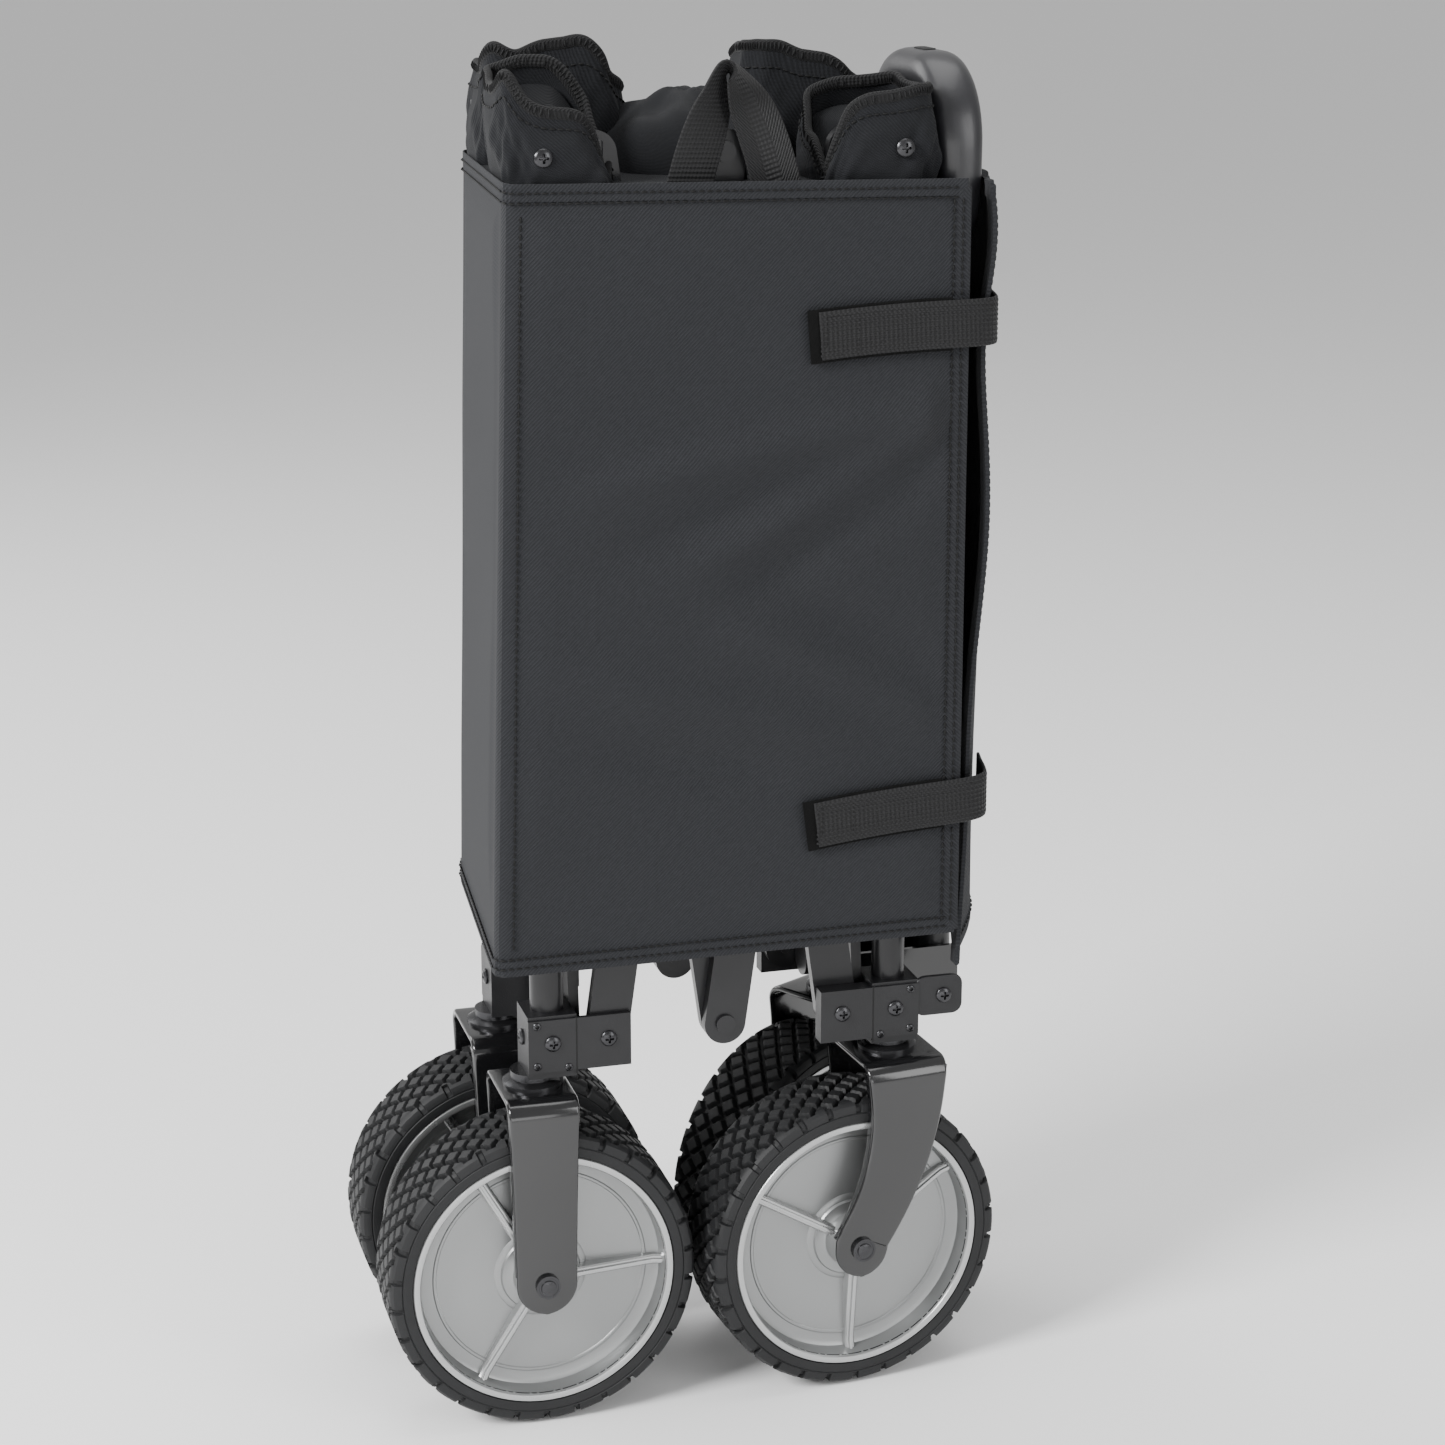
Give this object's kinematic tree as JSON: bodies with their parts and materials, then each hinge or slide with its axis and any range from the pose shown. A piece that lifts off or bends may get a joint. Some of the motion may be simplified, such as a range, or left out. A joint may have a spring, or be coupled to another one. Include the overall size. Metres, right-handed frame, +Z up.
{
  "type": "folding utility wagon",
  "caption": "Folding four-wheel utility wagon with telescoping pull handle, stood folded in its wrap-round floor pad.",
  "frame": {"origin": "on the ground under the middle of the folded wagon", "axes": "+Z up, +X towards the pull-handle end, +Y towards the wagon's left side"},
  "size_m": [0.3628, 0.1888, 0.766],
  "materials": {
    "frame_black": "gloss black powder coat",
    "frame_satin": "satin dark grey powder coat",
    "moulded_black": "fine grained moulded nylon",
    "tyre_black": "soft tread rubber",
    "rim_silver": "silver painted moulded rim",
    "fastener_steel": "black zinc",
    "grip_plastic": "satin moulded grip",
    "canvas_black": "woven polyester",
    "webbing_black": "ribbed webbing"
  },
  "bodies": {
    "leg_rear_right": {"leg_tube_rear_right": "frame_satin", "corner_bracket_rear_right": "moulded_black", "rear_fork_rear_right": "frame_black", "axle_bolt_rear_right": "fastener_steel"},
    "upper_rear_right": {"upper_sleeve_rear_right": "frame_satin", "corner_cap_rear_right": "moulded_black", "tub_fabric_rear_right": "canvas_black"},
    "wheel_rear_right": {"tyre_rear_right": "tyre_black", "rim_rear_right": "rim_silver"},
    "leg_rear_left": {"leg_tube_rear_left": "frame_satin", "corner_bracket_rear_left": "moulded_black", "rear_fork_rear_left": "frame_black", "axle_bolt_rear_left": "fastener_steel"},
    "upper_rear_left": {"upper_sleeve_rear_left": "frame_satin", "corner_cap_rear_left": "moulded_black", "tub_fabric_rear_left": "canvas_black"},
    "wheel_rear_left": {"tyre_rear_left": "tyre_black", "rim_rear_left": "rim_silver"},
    "leg_front_right": {"leg_tube_front_right": "frame_satin", "corner_bracket_front_right": "moulded_black"},
    "upper_front_right": {"upper_sleeve_front_right": "frame_satin", "corner_cap_front_right": "moulded_black", "tub_fabric_front_right": "canvas_black"},
    "wheel_front_right": {"tyre_front_right": "tyre_black", "rim_front_right": "rim_silver"},
    "leg_front_left": {"leg_tube_front_left": "frame_satin", "corner_bracket_front_left": "moulded_black"},
    "upper_front_left": {"upper_sleeve_front_left": "frame_satin", "corner_cap_front_left": "moulded_black", "tub_fabric_front_left": "canvas_black"},
    "wheel_front_left": {"tyre_front_left": "tyre_black", "rim_front_left": "rim_silver"},
    "caster_front_right": {"caster_fork_front_right": "frame_black", "axle_bolt_front_right": "fastener_steel"},
    "caster_front_left": {"caster_fork_front_left": "frame_black", "axle_bolt_front_left": "fastener_steel"},
    "bar_a_right": {"side_bar_a_right": "frame_satin"},
    "bar_b_right": {"side_bar_b_right": "frame_satin"},
    "bar_c_right": {"side_bar_c_right": "frame_satin"},
    "bar_d_right": {"side_bar_d_right": "frame_satin"},
    "bar_a_left": {"side_bar_a_left": "frame_satin"},
    "bar_b_left": {"side_bar_b_left": "frame_satin"},
    "bar_c_left": {"side_bar_c_left": "frame_satin"},
    "bar_d_left": {"side_bar_d_left": "frame_satin"},
    "bar_e_rear": {"end_bar_e_rear": "frame_satin"},
    "bar_f_rear": {"end_bar_f_rear": "frame_satin"},
    "bar_e_front": {"end_bar_e_front": "frame_satin"},
    "bar_f_front": {"end_bar_f_front": "frame_satin"},
    "handle_mount": {"handle_carrier": "frame_black"},
    "handle_tube": {"handle_outer_tube": "frame_satin"},
    "handle_slider": {"handle_inner_tube": "frame_satin", "handle_grip": "grip_plastic"},
    "floor_centre": {"floor_hub": "moulded_black", "pull_loop": "webbing_black"},
    "wrap": {"wrap_panels": "canvas_black"},
    "flap": {"wrap_flap": "canvas_black", "closure_straps": "webbing_black"}
  },
  "joints": [
    {"name": "unfold", "type": "hinge", "parent": "leg_rear_right", "child": "bar_a_right", "pos_m": [-0.0513, -0.06015, 0.228], "axis": [0, 1, 0], "range_deg": [0, 47], "deforming": ["wrap_panels", "wrap_flap", "closure_straps", "pull_loop", "tub_fabric_rear_right", "tub_fabric_rear_left", "tub_fabric_front_right", "tub_fabric_front_left"]},
    {"name": "bar_d_right_top", "type": "hinge", "parent": "bar_a_right", "child": "bar_d_right", "pos_m": [0.0176, -0.06015, 0.7182], "axis": [0, 1, 0], "range_deg": [-94.5, 0.5]},
    {"name": "front_foot_right", "type": "hinge", "parent": "bar_d_right", "child": "leg_front_right", "pos_m": [0.0865, -0.06015, 0.228], "axis": [0, 1, 0], "range_deg": [-0.5, 47.5]},
    {"name": "bar_b_right_cross", "type": "hinge", "parent": "bar_a_right", "child": "bar_b_right", "pos_m": [-0.01685, -0.06015, 0.4731], "axis": [0, 1, 0], "range_deg": [-94.5, 0.5]},
    {"name": "rear_cap_right", "type": "hinge", "parent": "bar_b_right", "child": "upper_rear_right", "pos_m": [-0.0513, -0.06015, 0.7182], "axis": [0, 1, 0], "range_deg": [-0.5, 47.5]},
    {"name": "bar_c_right_cross", "type": "hinge", "parent": "bar_d_right", "child": "bar_c_right", "pos_m": [0.05205, -0.06015, 0.4731], "axis": [0, 1, 0], "range_deg": [-0.5, 94.5]},
    {"name": "front_cap_right", "type": "hinge", "parent": "bar_c_right", "child": "upper_front_right", "pos_m": [0.0865, -0.06015, 0.7182], "axis": [0, 1, 0], "range_deg": [-47.5, 0.5]},
    {"name": "bar_a_left_foot", "type": "hinge", "parent": "leg_rear_left", "child": "bar_a_left", "pos_m": [-0.0513, 0.04885, 0.228], "axis": [0, 1, 0], "range_deg": [-0.5, 47.5]},
    {"name": "bar_d_left_top", "type": "hinge", "parent": "bar_a_left", "child": "bar_d_left", "pos_m": [0.0176, 0.04885, 0.7182], "axis": [0, 1, 0], "range_deg": [-94.5, 0.5]},
    {"name": "front_foot_left", "type": "hinge", "parent": "bar_d_left", "child": "leg_front_left", "pos_m": [0.0865, 0.04885, 0.228], "axis": [0, 1, 0], "range_deg": [-0.5, 47.5]},
    {"name": "bar_b_left_cross", "type": "hinge", "parent": "bar_a_left", "child": "bar_b_left", "pos_m": [-0.01685, 0.04885, 0.4731], "axis": [0, 1, 0], "range_deg": [-94.5, 0.5]},
    {"name": "rear_cap_left", "type": "hinge", "parent": "bar_b_left", "child": "upper_rear_left", "pos_m": [-0.0513, 0.04885, 0.7182], "axis": [0, 1, 0], "range_deg": [-0.5, 47.5]},
    {"name": "bar_c_left_cross", "type": "hinge", "parent": "bar_d_left", "child": "bar_c_left", "pos_m": [0.05205, 0.04885, 0.4731], "axis": [0, 1, 0], "range_deg": [-0.5, 94.5]},
    {"name": "front_cap_left", "type": "hinge", "parent": "bar_c_left", "child": "upper_front_left", "pos_m": [0.0865, 0.04885, 0.7182], "axis": [0, 1, 0], "range_deg": [-47.5, 0.5]},
    {"name": "bar_e_rear_foot", "type": "hinge", "parent": "leg_rear_right", "child": "bar_e_rear", "pos_m": [-0.0629, -0.0401, 0.228], "axis": [-1, 0, 0], "range_deg": [-0.5, 47.5]},
    {"name": "bar_f_rear_cross", "type": "hinge", "parent": "bar_e_rear", "child": "bar_f_rear", "pos_m": [-0.0629, -0.00565, 0.4731], "axis": [-1, 0, 0], "range_deg": [-94.5, 0.5]},
    {"name": "rear_left_foot", "type": "hinge", "parent": "bar_f_rear", "child": "leg_rear_left", "pos_m": [-0.0629, 0.0288, 0.228], "axis": [-1, 0, 0], "range_deg": [-0.5, 47.5]},
    {"name": "bar_e_front_foot", "type": "hinge", "parent": "leg_front_right", "child": "bar_e_front", "pos_m": [0.0981, -0.0401, 0.228], "axis": [-1, 0, 0], "range_deg": [-0.5, 47.5]},
    {"name": "bar_f_front_cross", "type": "hinge", "parent": "bar_e_front", "child": "bar_f_front", "pos_m": [0.0981, -0.00565, 0.4731], "axis": [-1, 0, 0], "range_deg": [-94.5, 0.5]},
    {"name": "handle_mount_cross", "type": "hinge", "parent": "bar_e_front", "child": "handle_mount", "pos_m": [0.0981, -0.00565, 0.4731], "axis": [-1, 0, 0], "range_deg": [-47.5, 0.5]},
    {"name": "floor_centre_travel", "type": "slide", "parent": "leg_rear_right", "child": "floor_centre", "axis": [0.6294, 0.3147, -0.7105], "range_m": [-0.002, 0.5378]},
    {"name": "wrap_lift", "type": "slide", "parent": "floor_centre", "child": "wrap", "axis": [0, 0, 1], "range_m": [0, 0.5]},
    {"name": "flap_open", "type": "hinge", "parent": "wrap", "child": "flap", "pos_m": [0.1766, 0.0711, 0.49], "axis": [0, 0, 1], "range_deg": [0, 100]},
    {"name": "handle_fold", "type": "hinge", "parent": "handle_mount", "child": "handle_tube", "pos_m": [0.1636, -0.00565, 0.222], "axis": [0, 1, 0], "range_deg": [0, 95]},
    {"name": "handle_telescope", "type": "slide", "parent": "handle_tube", "child": "handle_slider", "axis": [-0.0262, 0, 0.9997], "range_m": [0, 0.26]},
    {"name": "wheel_spin_rear_right", "type": "hinge", "parent": "leg_rear_right", "child": "wheel_rear_right", "pos_m": [-0.0924, -0.05565, 0.089], "axis": [0, 1, 0], "continuous": true},
    {"name": "wheel_spin_rear_left", "type": "hinge", "parent": "leg_rear_left", "child": "wheel_rear_left", "pos_m": [-0.0924, 0.04435, 0.089], "axis": [0, 1, 0], "continuous": true},
    {"name": "caster_swivel_front_right", "type": "hinge", "parent": "leg_front_right", "child": "caster_front_right", "pos_m": [0.1186, -0.05565, 0.2], "axis": [0, 0, 1], "range_deg": [0, 56]},
    {"name": "wheel_spin_front_right", "type": "hinge", "parent": "caster_front_right", "child": "wheel_front_right", "pos_m": [0.09073, -0.05838, 0.089], "axis": [-0.0976, 0.9952, 0], "continuous": true},
    {"name": "caster_swivel_front_left", "type": "hinge", "parent": "leg_front_left", "child": "caster_front_left", "pos_m": [0.1186, 0.04435, 0.2], "axis": [0, 0, 1], "range_deg": [-85, 0]},
    {"name": "wheel_spin_front_left", "type": "hinge", "parent": "caster_front_left", "child": "wheel_front_left", "pos_m": [0.09435, 0.03035, 0.089], "axis": [-0.5, 0.866, 0], "continuous": true}
  ],
  "couplings": [
    {"joint": "bar_d_right_top", "follows": "unfold", "ratio": -2},
    {"joint": "front_foot_right", "follows": "unfold", "ratio": 1},
    {"joint": "bar_b_right_cross", "follows": "unfold", "ratio": -2},
    {"joint": "rear_cap_right", "follows": "unfold", "ratio": 1},
    {"joint": "bar_c_right_cross", "follows": "unfold", "ratio": 2},
    {"joint": "front_cap_right", "follows": "unfold", "ratio": -1},
    {"joint": "bar_a_left_foot", "follows": "unfold", "ratio": 1},
    {"joint": "bar_d_left_top", "follows": "unfold", "ratio": -2},
    {"joint": "front_foot_left", "follows": "unfold", "ratio": 1},
    {"joint": "bar_b_left_cross", "follows": "unfold", "ratio": -2},
    {"joint": "rear_cap_left", "follows": "unfold", "ratio": 1},
    {"joint": "bar_c_left_cross", "follows": "unfold", "ratio": 2},
    {"joint": "front_cap_left", "follows": "unfold", "ratio": -1},
    {"joint": "bar_e_rear_foot", "follows": "unfold", "ratio": 1},
    {"joint": "bar_f_rear_cross", "follows": "unfold", "ratio": -2},
    {"joint": "rear_left_foot", "follows": "unfold", "ratio": 1},
    {"joint": "bar_e_front_foot", "follows": "unfold", "ratio": 1},
    {"joint": "bar_f_front_cross", "follows": "unfold", "ratio": -2},
    {"joint": "handle_mount_cross", "follows": "unfold", "ratio": -1},
    {"joint": "floor_centre_travel", "follows": "unfold", "m_per_rad": 0.65196}
  ]
}
